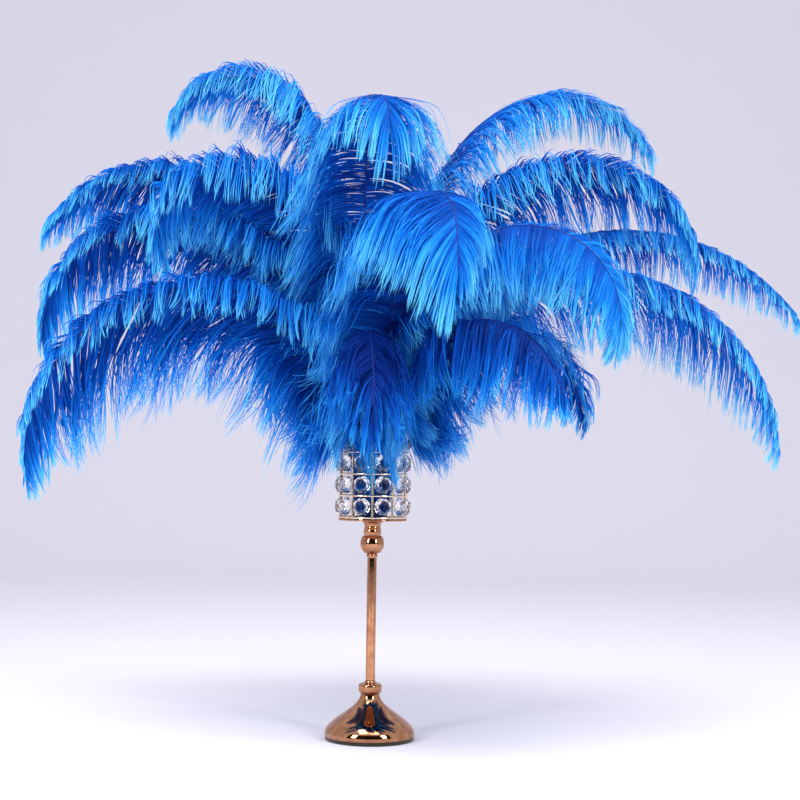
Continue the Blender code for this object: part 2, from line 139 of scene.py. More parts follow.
@dataclass
class Shell:
    """Points and faces of one surface, with any values that its material reads."""

    points: Array
    faces: list[Array]
    values: dict[str, Array] = field(default_factory=dict)
    slots: Array | None = None

    @staticmethod
    def joined(shells: list["Shell"]) -> "Shell":
        """Several shells as one, each still closed by itself; slot numbers follow the list's own."""
        starts = np.cumsum([0] + [len(s.points) for s in shells[:-1]])
        faces = [face + start for s, start in zip(shells, starts) for face in s.faces]
        names = {name for s in shells for name in s.values}
        values = {
            name: np.concatenate([s.values.get(name, np.zeros(len(s.points))) for s in shells])
            for name in names
        }
        slots = [
            s.slots if s.slots is not None else np.zeros(sum(len(f) for f in s.faces), int) for s in shells
        ]
        return Shell(np.concatenate([s.points for s in shells]), faces, values, np.concatenate(slots))

    def piece(self, name: str, finishes: list[Material], crease: float | None) -> Piece:
        """Makes the shell an object of the scene.

        Args:
            name: The piece's name.
            finishes: Its materials, one for each slot number.
            crease: Angle in degrees past which an edge stays sharp, or None for flat facets.

        Returns:
            The new object, at the origin.
        """
        corners = np.concatenate([f.ravel() for f in self.faces]).astype(np.int32)
        sizes = np.concatenate([np.full(len(f), f.shape[1]) for f in self.faces])
        mesh = bpy.data.meshes.new(name)
        mesh.vertices.add(len(self.points))
        mesh.vertices.foreach_set("co", self.points.astype(np.float32).ravel())
        mesh.loops.add(len(corners))
        mesh.loops.foreach_set("vertex_index", corners)
        mesh.polygons.add(len(sizes))
        starts = np.concatenate([[0], np.cumsum(sizes)[:-1]]).astype(np.int32)
        mesh.polygons.foreach_set("loop_start", starts)
        if self.slots is not None:
            mesh.polygons.foreach_set("material_index", self.slots.astype(np.int32))
        mesh.update(calc_edges=True)
        for value, numbers in self.values.items():
            layer = mesh.attributes.new(value, "FLOAT", "POINT")
            layer.data.foreach_set("value", numbers.astype(np.float32))
        for finish in finishes:
            mesh.materials.append(finish)
        if crease is None:
            mesh.shade_flat()
        else:
            mesh.shade_smooth()
            mesh.set_sharp_from_angle(angle=math.radians(crease))
        made = bpy.data.objects.new(name, mesh)
        bpy.context.scene.collection.objects.link(made)
        return made


def rounded(corners: list[tuple[float, float, float]], steps: int = 5) -> Array:
    """An outline whose corners are eased by a parabola of the stated reach.

    Args:
        corners: Radius, height and reach of the rounding at each corner.
        steps: Points on each rounding.

    Returns:
        Radius and height along the outline.
    """
    places = np.array([c[:2] for c in corners])
    made = [places[:1]]
    share = np.linspace(0.0, 1.0, steps)[:, None]
    for k in range(1, len(places) - 1):
        before, here, after = places[k - 1], places[k], places[k + 1]
        reach = corners[k][2]
        if reach == 0.0:
            made.append(here[None])
            continue
        start = here + unit(before - here) * min(reach, np.linalg.norm(before - here) / 2)
        end = here + unit(after - here) * min(reach, np.linalg.norm(after - here) / 2)
        made.append((1 - share) ** 2 * start + 2 * share * (1 - share) * here + share**2 * end)
    return np.concatenate([*made, places[-1:]])


def turned(outline: Array, closed: bool = False, steps: int = 96) -> Shell:
    """An outline carried round Z: each point becomes a ring of its own radius and height.

    Args:
        outline: Radius and height, running down the outer side; both ends are on the axis unless closed.
        closed: The outline is a ring in itself, so the shell has a hole through it.
        steps: Points around.

    Returns:
        The closed shell.
    """
    around = np.linspace(0.0, math.tau, steps, endpoint=False)
    rings = outline if closed else outline[1:-1]
    radius = rings[:, :1]
    height = np.repeat(rings[:, 1:], steps, axis=1)
    points = np.stack([radius * np.cos(around), radius * np.sin(around), height], -1).reshape(-1, 3)
    quads = grid_faces(len(rings), steps, wrap_rows=closed)[:, ::-1]
    if closed:
        return Shell(points, [quads])
    top, low = len(points), len(points) + 1
    poles = np.array([[0.0, 0.0, outline[0, 1]], [0.0, 0.0, outline[-1, 1]]])
    here = np.arange(steps)
    after = (here + 1) % steps
    last = (len(rings) - 1) * steps
    caps = [
        np.stack([np.full(steps, top), here, after], 1),
        np.stack([np.full(steps, low), last + after, last + here], 1),
    ]
    return Shell(np.concatenate([points, poles]), [quads, *caps])


def wire(path: Array, radius: Array, closed: bool, sides: int = 12) -> Shell:
    """A round wire: a circle of the given radius square to the path, carried along it.

    Args:
        path: Places along the wire's middle.
        radius: The wire's radius at each place.
        closed: The path is a loop; an open wire's ends are capped.
        sides: Points around the wire.

    Returns:
        The closed shell, with the value "along" from 0 to 1.
    """
    if closed:
        along = unit(np.roll(path, -1, 0) - np.roll(path, 1, 0))
    else:
        along = unit(np.gradient(path, axis=0))
    aside = np.cross(along, [0.0, 0.0, 1.0])
    aside = np.where(np.linalg.norm(aside, axis=1, keepdims=True) < 1e-6, [1.0, 0.0, 0.0], aside)
    aside = unit(aside)
    over = np.cross(along, aside)
    turn = np.linspace(0.0, math.tau, sides, endpoint=False)[None, :, None]
    ring = aside[:, None] * np.cos(turn) + over[:, None] * np.sin(turn)
    points = (path[:, None] + ring * radius[:, None, None]).reshape(-1, 3)
    faces = [grid_faces(len(path), sides, wrap_rows=closed)[:, ::-1]]
    if not closed:
        first = np.arange(sides)
        faces += [first[None, :], (len(path) - 1) * sides + first[None, ::-1]]
    share = np.repeat(np.linspace(0.0, 1.0, len(path)), sides)
    return Shell(points, faces, {"along": share})


def ride_for(piece: Piece, node: str) -> None:
    """Lets a finished piece stand for a node of the frame: hangs it under the root body and hides the node.
    """
    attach(piece, "root")
    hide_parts(node)
    log.info("%-32s %6d faces for %s", piece.name, len(piece.data.polygons), node)


# ---------------------------------------------------------------- finishes
@dataclass(frozen=True)
class Finish:
    """What a piece is made of: each kind of finish gives its own surface."""

    name: str = "bare"

    def surface(self, tree: Tree, place: Socket) -> Socket:
        """The output of the surface's shader; place is the point on the object."""
        raise NotImplementedError

    def material(self) -> Material:
        """The finish as a new material."""
        made = bpy.data.materials.new(self.name)
        made.use_nodes = True
        tree = made.node_tree
        tree.nodes.clear()
        place = add_node(tree, "TexCoord").outputs["Object"]
        add_node(tree, "OutputMaterial", {"Surface": self.surface(tree, place)})
        return made


@dataclass(frozen=True)
class MattCover(Finish):
    """A plain matt cloth or paper of one colour, for the stage."""

    colour: str = "#ffffff"
    roughness: float = 0.9

    def surface(self, tree: Tree, place: Socket) -> Socket:
        """One colour that scatters the light evenly."""
        shader = add_node(tree, "BsdfPrincipled",
                          {"Base Color": linear(self.colour), "Roughness": self.roughness})
        return shader.outputs["BSDF"]


@dataclass(frozen=True)
class RoseGoldPlate(Finish):
    """Rose-gold electroplate on polished iron: warm copper mirror, clouded a little by handling."""

    name: str = "rose_gold_electroplate"
    tint: str = "#c08c69"
    worn_tint: str = "#9a6749"
    polish: float = 0.035
    haze: float = 0.10
    cloud_mm: float = 9.0
    ripple_mm: float = 14.0

    def surface(self, tree: Tree, place: Socket) -> Socket:
        """Mirror metal whose roughness and tint drift in soft clouds over a barely wavy surface."""
        cloud = add_node(tree, "TexNoise",
                         {"Vector": place, "Scale": MM_IN_METRE / self.cloud_mm, "Detail": 4.0})
        tint = add_node(tree, "ValToRGB", {"Fac": cloud.outputs["Fac"]},
                        stops=((0.35, self.tint), (0.75, self.worn_tint)))
        rough = add_node(tree, "MapRange",
                         {"Value": cloud.outputs["Fac"], "From Min": 0.3, "From Max": 0.75,
                          "To Min": self.polish, "To Max": self.haze})
        ripple = add_node(tree, "TexNoise",
                          {"Vector": place, "Scale": MM_IN_METRE / self.ripple_mm, "Detail": 1.0})
        bump = add_node(tree, "Bump",
                        {"Height": ripple.outputs["Fac"], "Strength": 0.12, "Distance": 0.0006})
        shader = add_node(tree, "BsdfPrincipled",
                          {"Base Color": tint.outputs["Color"], "Metallic": 1.0,
                           "Roughness": rough.outputs["Result"], "Normal": bump.outputs["Normal"]})
        return shader.outputs["BSDF"]


@dataclass(frozen=True)
class CutCrystal(Finish):
    """Machine-cut lead-free crystal: clear, with bright edges where each facet bends the light."""

    name: str = "clear_cut_crystal"
    tint: str = "#fbfaf8"
    shade: str = "#eeeaf0"
    ior: float = 1.56
    streak_mm: float = 6.0

    def surface(self, tree: Tree, place: Socket) -> Socket:
        """Plain transmission, with faint streaks of tint as in pressed glass."""
        streak = add_node(tree, "TexNoise",
                          {"Vector": place, "Scale": MM_IN_METRE / self.streak_mm, "Detail": 2.0})
        tint = add_node(tree, "ValToRGB", {"Fac": streak.outputs["Fac"]},
                        stops=((0.4, self.tint), (0.7, self.shade)))
        shader = add_node(tree, "BsdfPrincipled",
                          {"Base Color": tint.outputs["Color"], "Roughness": 0.015, "IOR": self.ior,
                           "Transmission Weight": 1.0})
        return shader.outputs["BSDF"]


@dataclass(frozen=True)
class BaseFelt(Finish):
    """Pressed wool felt: near black, rough, with a short nap that catches a little light."""

    name: str = "pressed_black_felt"
    pile: str = "#17100f"
    fluff: str = "#2c211f"
    fibre_mm: float = 1.2

    def surface(self, tree: Tree, place: Socket) -> Socket:
        """Two dark tones in a fine tangle that also lifts the surface."""
        nap = add_node(tree, "TexNoise",
                       {"Vector": place, "Scale": MM_IN_METRE / self.fibre_mm, "Detail": 6.0})
        tone = add_node(tree, "ValToRGB", {"Fac": nap.outputs["Fac"]},
                        stops=((0.35, self.pile), (0.7, self.fluff)))
        bump = add_node(tree, "Bump",
                        {"Height": nap.outputs["Fac"], "Strength": 0.6, "Distance": 0.0004})
        shader = add_node(tree, "BsdfPrincipled",
                          {"Base Color": tone.outputs["Color"], "Roughness": 0.95, "Sheen Weight": 0.4,
                           "Sheen Roughness": 0.5, "Normal": bump.outputs["Normal"]})
        return shader.outputs["BSDF"]


@dataclass(frozen=True)
class DyedDown(Finish):
    """Ostrich down dipped in royal-blue dye, painted deep navy at the barb roots as painted shade inside the
    vanes and pale cyan towards the tips as painted light falling on them and shining through.
    """

    name: str = "royal_blue_dyed_down"
    # Colours from a barb's root to its tip: the dark root colour is painted shade, the pale outer and tip
    # colours painted light.
    root: str = "#012c86"
    middle: str = "#035ac6"
    outer: str = "#1b97ef"
    tip: str = "#66d4fb"
    bloom: str = "#5cb8ff"
    lit_through: float = 0.30
    patch_mm: float = 45.0

    def surface(self, tree: Tree, place: Socket) -> Socket:
        """Colour runs along each barb from painted shade at the root to painted light at the tip, shifted
        from lock to lock, and part of the light shines through.
        """
        along = add_node(tree, "Attribute", attribute_name="along").outputs["Fac"]
        strand = add_node(tree, "Attribute", attribute_name="strand").outputs["Fac"]
        patch = add_node(tree, "TexNoise",
                         {"Vector": place, "Scale": MM_IN_METRE / self.patch_mm, "Detail": 2.0})
        # The share along the barb carries the painted shade of the root into the painted light of the tip;
        # the strand value adds each barb's own tone and its plume's painted light and shade; the noise
        # patches vary at random.
        tone = -0.10
        for value, weight in ((along, 0.72), (strand, 0.36), (patch.outputs["Fac"], 0.26)):
            tone = add_node(tree, "Math", {0: value, 1: weight, 2: tone},
                            operation="MULTIPLY_ADD").outputs[0]
        colour = add_node(tree, "ValToRGB", {"Fac": tone},
                          stops=((0.10, self.root), (0.36, self.middle), (0.64, self.outer),
                                 (0.95, self.tip)))
        shader = add_node(tree, "BsdfPrincipled",
                          {"Base Color": colour.outputs["Color"], "Roughness": 0.6,
                           "Specular IOR Level": 0.08, "Sheen Weight": 0.08, "Sheen Roughness": 0.35,
                           "Sheen Tint": linear(self.bloom)})
        through = add_node(tree, "BsdfTranslucent", {"Color": colour.outputs["Color"]})
        blend = add_node(tree, "MixShader",
                         {0: self.lit_through, 1: shader.outputs["BSDF"], 2: through.outputs["BSDF"]})
        return blend.outputs["Shader"]


@dataclass(frozen=True)
class DyedShaft(Finish):
    """Feather shaft of dyed keratin: hard and smooth, navy under the dye, paler towards the quill."""

    name: str = "dyed_keratin_shaft"
    quill: str = "#1d4fb8"
    middle: str = "#061f72"
    tip: str = "#05226e"
    grain_mm: float = 3.0

    def surface(self, tree: Tree, place: Socket) -> Socket:
        """Colour runs along the shaft, streaked by the dye, under a soft horn-like gloss."""
        along = add_node(tree, "Attribute", attribute_name="along").outputs["Fac"]
        grain = add_node(tree, "TexNoise",
                         {"Vector": place, "Scale": MM_IN_METRE / self.grain_mm, "Detail": 3.0})
        tone = add_node(tree, "Math", {0: grain.outputs["Fac"], 1: 0.18, 2: along},
                        operation="MULTIPLY_ADD")
        colour = add_node(tree, "ValToRGB", {"Fac": tone.outputs[0]},
                          stops=((0.05, self.quill), (0.35, self.middle), (1.0, self.tip)))
        shader = add_node(tree, "BsdfPrincipled",
                          {"Base Color": colour.outputs["Color"], "Roughness": 0.45,
                           "Specular IOR Level": 0.25})
        return shader.outputs["BSDF"]


# ---------------------------------------------------------------- stand
@dataclass
class Stand:
    """The turned stand: felt pad, bell base, collar, tube, ball knob, neck and plate."""

    gap: float = 0.0003
    pad_radius: float = 0.0583
    pad_top: float = 0.0045
    base_radius: float = 0.0592
    base_rim: float = 0.0035
    base_top: float = 0.0590
    base_neck: float = 0.0125
    base_wall: float = 0.0020
    base_bore: float = 0.0050
    collar_radius: float = 0.0155
    bead_top: float = 0.0730
    waist_radius: float = 0.0075
    collar_top: float = 0.0765
    tube_radius: float = 0.0062
    tube_wall: float = 0.0012
    tube_top: float = 0.2365
    knob_low: float = 0.2430
    knob_radius: float = 0.0158
    knob_top: float = 0.2662
    neck_radius: float = 0.0108
    neck_waist: float = 0.0009
    flare_radius: float = 0.0160
    neck_top: float = 0.2857
    plate_radius: float = 0.0455
    plate_top: float = 0.2885

    def pad(self) -> Shell:
        """A flat disc with a soft edge."""
        edge = 0.0006
        return turned(
            rounded([
                (0.0, self.pad_top, 0.0),
                (self.pad_radius, self.pad_top, edge),
                (self.pad_radius, 0.0, edge),
                (0.0, 0.0, 0.0),
            ])
        )

    def base(self) -> Shell:
        """The bell: its radius follows half a cosine wave of the height, over an upright rim."""
        floor = self.pad_top + self.gap
        shoulder = floor + self.base_rim
        fall = np.linspace(1.0, 0.0, 40)
        height = shoulder + (self.base_top - shoulder) * fall
        wave = (1.0 + np.cos(math.pi * fall)) / 2.0
        radius = self.base_neck + (self.base_radius - self.base_neck) * wave
        outer = np.stack([radius, height], 1)
        rim = np.array([
            (self.base_radius, floor + 0.0008),
            (self.base_radius - 0.0003, floor + 0.0002),
            (self.base_radius - 0.0008, floor),
            (self.base_radius - self.base_wall, floor),
        ])
        inner = outer[34:6:-1] - [1.3 * self.base_wall, self.base_wall]
        bore = np.array([(self.base_bore, inner[-1, 1]), (self.base_bore, self.base_top)])
        return turned(np.concatenate([outer, rim, inner, bore]), closed=True)

    def collar(self) -> Shell:
        """The bead: a tall ring with a dished top, and the small ring that the tube stands on."""
        low = self.base_top + self.gap
        drawn_in = self.waist_radius - 0.0008
        ring_middle = (self.bead_top + self.collar_top) / 2
        return turned(
            rounded([
                (0.0, self.collar_top, 0.0),
                (drawn_in, self.collar_top, 0.0008),
                (self.waist_radius, ring_middle, 0.0012),
                (drawn_in, self.bead_top - 0.0012, 0.0006),
                (0.0108, self.bead_top - 0.0012, 0.0012),
                (0.0132, self.bead_top, 0.0012),
                (self.collar_radius, self.bead_top - 0.0020, 0.0022),
                (self.collar_radius - 0.0002, low + 0.0035, 0.0022),
                (0.0128, low + 0.0004, 0.0012),
                (0.0118, low, 0.0004),
                (0.0, low, 0.0),
            ])
        )

    def tube(self) -> Shell:
        """A straight pipe."""
        low = self.collar_top + self.gap
        inner = self.tube_radius - self.tube_wall
        lip = 0.0002
        height = np.linspace(self.tube_top - lip, low + lip, 12)
        outer = np.stack([np.full(12, self.tube_radius), height], 1)
        ends = np.array([(self.tube_radius - lip, low), (inner, low), (inner, self.tube_top)])
        top = np.array([(self.tube_radius - lip, self.tube_top)])
        return turned(np.concatenate([outer, ends, top]), closed=True)

    def knob(self) -> Shell:
        """The ball: fullest above its middle and drawn in below, on a small ring."""
        low = self.tube_top + self.gap
        rise = np.linspace(1.0, 0.0, 28)
        height = self.knob_low + (self.knob_top - self.knob_low) * rise
        swell = np.sqrt(np.clip(1.0 - ((rise - 0.56) / 0.60) ** 2, 0.0, 1.0))
        foot = self.waist_radius - 0.0016
        radius = foot + (self.knob_radius - foot) * swell / swell.max()
        ball = np.stack([radius, height], 1)
        drawn_in = self.waist_radius - 0.0012
        ring = rounded([
            (drawn_in, self.knob_low - 0.0004, 0.0),
            (self.waist_radius, self.knob_low - 0.0016, 0.0010),
            (self.waist_radius, low + 0.0018, 0.0010),
            (drawn_in, low, 0.0),
        ])
        ends = [np.array([(0.0, self.knob_top)]), np.array([(0.0, low)])]
        return turned(np.concatenate([ends[0], ball, ring, ends[1]]))

    def neck(self) -> Shell:
        """The neck: a sine-waisted barrel that flares out as a fifth power under the plate."""
        low = self.knob_top + self.gap
        run = np.linspace(0.0, 1.0, 30)
        barrel = self.neck_radius - self.neck_waist * np.sin(math.tau * run)
        flare = barrel + (self.flare_radius - self.neck_radius) * (1.0 - run) ** 5
        side = np.stack([flare, self.neck_top + (low - self.neck_top) * run], 1)
        return turned(np.concatenate([[(0.0, self.neck_top)], side, [(0.0, low)]]))

    def plate(self) -> Shell:
        """The round plate under the cup."""
        low = self.neck_top + self.gap
        return turned(
            rounded([
                (0.0, self.plate_top, 0.0),
                (self.plate_radius, self.plate_top, 0.0008),
                (self.plate_radius, low, 0.0008),
                (0.0, low, 0.0),
            ])
        )

    def dress(self, metal: Material, felt: Material) -> None:
        """Builds each piece in its finish.

        Args:
            metal: Finish of every turned piece.
            felt: Finish of the pad.
        """
        ride_for(self.pad().piece("felt_pad_disc", [felt], CREASE), "felt_pad")
        shells = {
            "base_shell": self.base(),
            "base_collar": self.collar(),
            "stem_tube": self.tube(),
            "ball_knob": self.knob(),
            "cup_neck": self.neck(),
            "cup_plate": self.plate(),
        }
        for node, shell in shells.items():
            ride_for(shell.piece(f"{node}_turned", [metal], CREASE), node)


# ---------------------------------------------------------------- crystal cup
@dataclass
class CrystalCup:
    """The wire cage and its rows of cut crystals."""

    radius: float = 0.0445
    wire_radius: float = 0.0015
    bar_radius: float = 0.0014
    foot: float = 0.2888
    pitch: float = 0.0285
    rings: int = 5
    bars: int = 10
    half_width: float = 0.0109
    half_height: float = 0.0110
    inner: float = 0.0390
    outer: float = 0.0497
    girdle: float = 0.0440

    def cage(self) -> Shell:
        """Rings of round wire and upright bars: circles carried round circles and up straight lines."""
        low = self.foot + self.wire_radius
        around = np.linspace(0.0, math.tau, 120, endpoint=False)
        shells = []
        for level in range(self.rings):
            height = np.full(around.size, low + self.pitch * level)
            path = np.stack([self.radius * np.cos(around), self.radius * np.sin(around), height], 1)
            shells.append(wire(path, np.full(around.size, self.wire_radius), closed=True))
        rise = np.linspace(0.0, self.pitch * (self.rings - 1) + 0.0011, 9) - 0.0004
        for turn in range(self.bars):
            angle = math.tau * turn / self.bars - math.pi / 2
            side = np.array([self.radius * math.cos(angle), self.radius * math.sin(angle), low])
            path = side + rise[:, None] * np.array([0.0, 0.0, 1.0])
            shells.append(wire(path, np.full(rise.size, self.bar_radius), closed=False))
        return Shell.joined(shells)

    def crystal(self) -> Shell:
        """One cut crystal, looking along X: octagon sections, the girdle widest and both faces flat.

        The octagon grows from the small back face to the girdle and shrinks again to the front table.
        Two sections turn by half a side, so that the facets beside them are triangles.
        """
        across = np.array([0.30, 0.62, 1.0, 1.0, 0.80, 0.52])
        depth = np.array([self.inner, 0.0405, self.girdle - 0.0005, self.girdle + 0.0007, 0.0480, self.outer])
        half_turn = np.array([0.0, 0.5, 0.0, 0.0, 0.5, 0.0])
        side = np.arange(8)
        turn = (side[None, :] + 0.5 + half_turn[:, None]) * math.pi / 4
        reach = across[:, None] / math.cos(math.pi / 8)
        reach = np.where(half_turn[:, None] > 0, reach * 0.98, reach)
        points = np.stack([np.repeat(depth[:, None], 8, 1), self.half_width * reach * np.cos(turn),
                           self.half_height * reach * np.sin(turn)], -1).reshape(-1, 3)
        faces = [side[None, ::-1], (len(depth) - 1) * 8 + side[None, :]]
        for k in range(len(depth) - 1):
            here, above = 8 * k + side, 8 * (k + 1) + side
            after, beyond = 8 * k + (side + 1) % 8, 8 * (k + 1) + (side + 1) % 8
            if half_turn[k] == half_turn[k + 1]:
                faces.append(np.stack([here, after, beyond, above], 1))
            elif half_turn[k + 1] > 0:
                faces += [np.stack([here, after, above], 1), np.stack([after, beyond, above], 1)]
            else:
                faces += [np.stack([here, beyond, above], 1), np.stack([here, after, beyond], 1)]
        return Shell(points, faces)

    def row(self, level: int) -> Shell:
        """Ten crystals, one between each two bars."""
        one = self.crystal()
        middle = self.foot + self.wire_radius + self.pitch * (level + 0.5)
        shells = []
        for turn in range(self.bars):
            angle = math.tau * (turn + 0.5) / self.bars - math.pi / 2
            spin = np.array(Matrix.Rotation(angle, 3, "Z"))
            shells.append(Shell(one.points @ spin.T + [0.0, 0.0, middle], one.faces))
        return Shell.joined(shells)

    def dress(self, metal: Material, crystal: Material) -> None:
        """Builds the cage and its rows.

        Args:
            metal: Finish of the wire.
            crystal: Finish of the crystals.
        """
        ride_for(self.cage().piece("cup_cage_wire", [metal], CREASE), "cup_cage")
        for level in range(self.rings - 1):
            cut = self.row(level).piece(f"crystal_row_{level + 1}_cut", [crystal], None)
            ride_for(cut, f"crystal_row_{level + 1}")


# ---------------------------------------------------------------- plumes
# How far one barb strays from the habit of its lock, as a standard deviation.
OWN_SPREAD = {
    "length": 0.08, "slant": math.radians(1.5), "dip": math.radians(3.0), "sag": 0.08, "bend": 0.05,
    "phase": 0.9,
}


class Circle(Enum):
    """The two circles that the quills stand on: their radius at the plate and at the cup's rim."""

    OUTER = (0.017, 0.034)
    INNER = (0.009, 0.020)


@dataclass(frozen=True)
class Line:
    """A shaft as arrays along it: its share, places, tangents, sideways and dorsal directions."""

    share: Array
    place: Array
    tangent: Array
    sideways: Array
    dorsal: Array

    def at(self, share: Array) -> tuple[Array, Array, Array, Array]:
        """Place, tangent, sideways and dorsal direction at any shares of the shaft."""
        rows = []
        for values in (self.place, self.tangent, self.sideways, self.dorsal):
            rows.append(np.stack([np.interp(share, self.share, values[:, i]) for i in range(3)], 1))
        return rows[0], unit(rows[1]), unit(rows[2]), unit(rows[3])


@dataclass(frozen=True)
class Plume:
    """One ostrich plume: how its shaft bends, and how its barbs hang. Angles are in degrees."""

    node: str
    circle: Circle
    slot: float
    heading: float
    length: float
    tip_slope: float
    bend: float
    swing: float
    roll_root: float
    roll_tip: float
    barb: float
    seed: int

    foot_height: float = 0.2888
    rim_height: float = 0.4043
    ease_share: float = 0.35
    vane_start: float = 0.04
    barbs: int = 1100
    joints: int = 12
    slant: float = 54.0
    tip_slant: float = 8.0
    tip_reach: float = 0.40
    dip: float = -8.0
    sag: float = 2.7
    bend_at: float = 0.42
    curl: float = 0.8
    upper: float = 0.76
    soft: float = 0.18
    lopsided: float = 0.0
    unruly: float = 1.0
    # Each plume's own shift of its down's colour, paler for some plumes; the strong darkening of the plumes
    # low in front and at the back is painted shade from the plumes above them.
    tone: float = 0.0
    lock_pitch: float = 0.0075
    barb_width: float = 0.0015
    quill_radius: float = 0.0018
    tip_radius: float = 0.0006
    tip_part: float = 0.62
    crowding: float = 1.35
    bend_span: float = 0.36
    gather_at: float = 0.42
    stray: float = 0.05
    level: float = 0.1
    raised_stiffness: float = 1.3
    raised_earlier: float = 0.16
    # The vane that rises is painted paler, as painted light from above, and the vane that hangs is painted
    # darker, as painted shade on its underside.
    raised_painted_light: float = 0.18
    hanging_painted_shade: float = -0.22

    def line(self) -> Line:
        """The free shaft above the rim.

        Its slope falls from the quill's own slope to tip_slope as a power of the distance, and its
        direction eases from the slot to the heading and then swings; the places are their running sum.
        """
        foot_radius, rim_radius = self.circle.value
        slot = math.radians(self.slot)
        outward = np.array([math.cos(slot), math.sin(slot), 0.0])
        rim = rim_radius * outward + [0.0, 0.0, self.rim_height]
        foot = foot_radius * outward + [0.0, 0.0, self.foot_height]
        quill = np.linalg.norm(rim - foot)
        start = math.atan2(self.rim_height - self.foot_height, rim_radius - foot_radius)
        share = np.linspace(0.0, 1.0, 161)
        slope = start + (math.radians(self.tip_slope) - start) * share**self.bend
        ease = smooth_step(share / self.ease_share)
        turn = np.radians(self.slot + (self.heading - self.slot) * ease + self.swing * share**2)
        tangent = np.stack([np.cos(slope) * np.cos(turn), np.cos(slope) * np.sin(turn), np.sin(slope)], 1)
        step = (self.length - quill) / (len(share) - 1)
        place = np.repeat(rim[None], len(share), 0)
        place[1:] += np.cumsum((tangent[1:] + tangent[:-1]) / 2 * step, axis=0)
        dorsal = np.stack([-np.sin(slope) * np.cos(turn), -np.sin(slope) * np.sin(turn), np.cos(slope)], 1)
        across = np.stack([np.sin(turn), -np.cos(turn), np.zeros(len(share))], 1)
        roll = np.radians(self.roll_root + (self.roll_tip - self.roll_root) * share)[:, None]
        sideways = across * np.cos(roll) + dorsal * np.sin(roll)
        return Line(share, place, tangent, sideways, dorsal * np.cos(roll) - across * np.sin(roll))

    def past(self, share: Array) -> Array:
        """How far into the tip part of the shaft a place is: 0 where it starts and 1 at the tip."""
        return (share - self.tip_part) / (1.0 - self.tip_part)

    def reach(self, share: Array) -> Array:
        """Barb length along the shaft: short at the root, longest in the middle, shorter at the tip."""
        grown = 0.88 + 0.12 * np.clip(share / 0.30, 0.0, 1.0)
        fallen = (1.0 - self.tip_reach) * np.clip(self.past(share), 0.0, 1.0) ** 1.4
        return self.barb * grown * (1.0 - fallen)

    def lie(self, line: Line, side: int, share: Array, habit: dict[str, Array]) -> tuple[Array, Array]:
        """How barbs lie: each leaves the shaft at its slant and is turned by its own weight and curl.

        The direction at a share u of the barb is its first direction, plus sag down and curl towards the
        underside, both coming in past bend_at, plus a slow spiral; the path is its running sum.

        Args:
            line: The shaft.
            side: 1 for the right vane and -1 for the left.
            share: Where each barb's root is on the shaft.
            habit: Length, slant, dip, sag, curl, wander and phase of each barb.

        Returns:
            Places along each barb, and the side direction that its flat face starts with.
        """
        root, tangent, sideways, dorsal = line.at(share)
        u = np.linspace(0.0, 1.0, self.joints + 1)[None, :, None]
        slant = habit["slant"][:, None]
        dip = habit["dip"][:, None]
        out = side * sideways * np.cos(dip) + dorsal * np.sin(dip)
        start = np.cos(slant) * tangent + np.sin(slant) * out
        over = smooth_step((u - habit["bend"][:, None, None]) / self.bend_span)
        spiral = habit["phase"][:, None, None] + habit["coil"][:, None, None] * u
        drift = tangent[:, None] * np.cos(spiral) + dorsal[:, None] * np.sin(spiral)
        way = (
            start[:, None]
            + habit["sag"][:, None, None] * (self.soft * u + (1 - self.soft) * over) * DOWN
            - habit["curl"][:, None, None] * over * dorsal[:, None]
            + habit["wander"][:, None, None] * u**2.2 * drift
        )
        way = unit(way)
        step = habit["length"][:, None, None] / self.joints
        path = np.repeat(root[:, None], self.joints + 1, 1)
        path[:, 1:] += np.cumsum((way[:, 1:] + way[:, :-1]) / 2 * step, axis=1)
        return path, unit(tangent - (tangent * start).sum(1, keepdims=True) * start)

    def vane(self, line: Line, side: int, rng: np.random.Generator) -> Shell:
        """One side's barbs, gathered into locks whose tips draw together.

        Args:
            line: The shaft.
            side: 1 for the right vane and -1 for the left.
            rng: Seeded random numbers.

        Returns:
            Ribbons with the values "along" and "strand".
        """
        n = self.barbs
        lift = side * line.sideways[len(line.share) // 2, 2]
        raised = lift > self.level
        height = self.upper if raised else 1.0
        spread = ((np.arange(n) + 0.5 + rng.uniform(-0.4, 0.4, n)) / n) ** self.crowding
        share = self.vane_start + (1.0 - self.vane_start) * spread
        free = self.length - (self.rim_height - self.foot_height)
        locks = int(round(free / self.lock_pitch))
        edges = (np.arange(1, locks) + rng.uniform(-0.38, 0.38, locks - 1)) / locks
        lock = np.searchsorted(edges, spread)
        middle = np.concatenate([[0.0], edges, [1.0]])
        middle = self.vane_start + (1.0 - self.vane_start) * (middle[1:] + middle[:-1]) / 2

        of_lock = {
            "length": 1.0 + self.unruly * rng.uniform(-0.10, 0.08, locks),
            "slant": self.unruly * np.radians(rng.normal(0.0, 1.5, locks)),
            "dip": self.unruly * np.radians(rng.normal(0.0, 3.0, locks)),
            "sag": rng.uniform(0.80, 1.25, locks),
            "curl": rng.normal(0.0, 0.20, locks),
            "bend": rng.uniform(-0.09, 0.09, locks),
            "wander": self.unruly * rng.uniform(0.40, 1.70, locks),
            "phase": rng.uniform(0.0, math.tau, locks),
            "coil": rng.uniform(-7.0, 7.0, locks),
            "pull": np.minimum(0.95, self.unruly**0.4 * rng.uniform(0.25, 0.85, locks)),
            "tone": rng.uniform(0.0, 1.0, locks),
        }

        def habits(at: Array, which: Array, own: float) -> dict[str, Array]:
            """The habit of each barb: its place's, changed by its lock's and by its own."""
            size = at.size

            def shift(name: str) -> Array:
                """Each barb's own change of one habit."""
                return own * rng.normal(0.0, OWN_SPREAD[name], size)

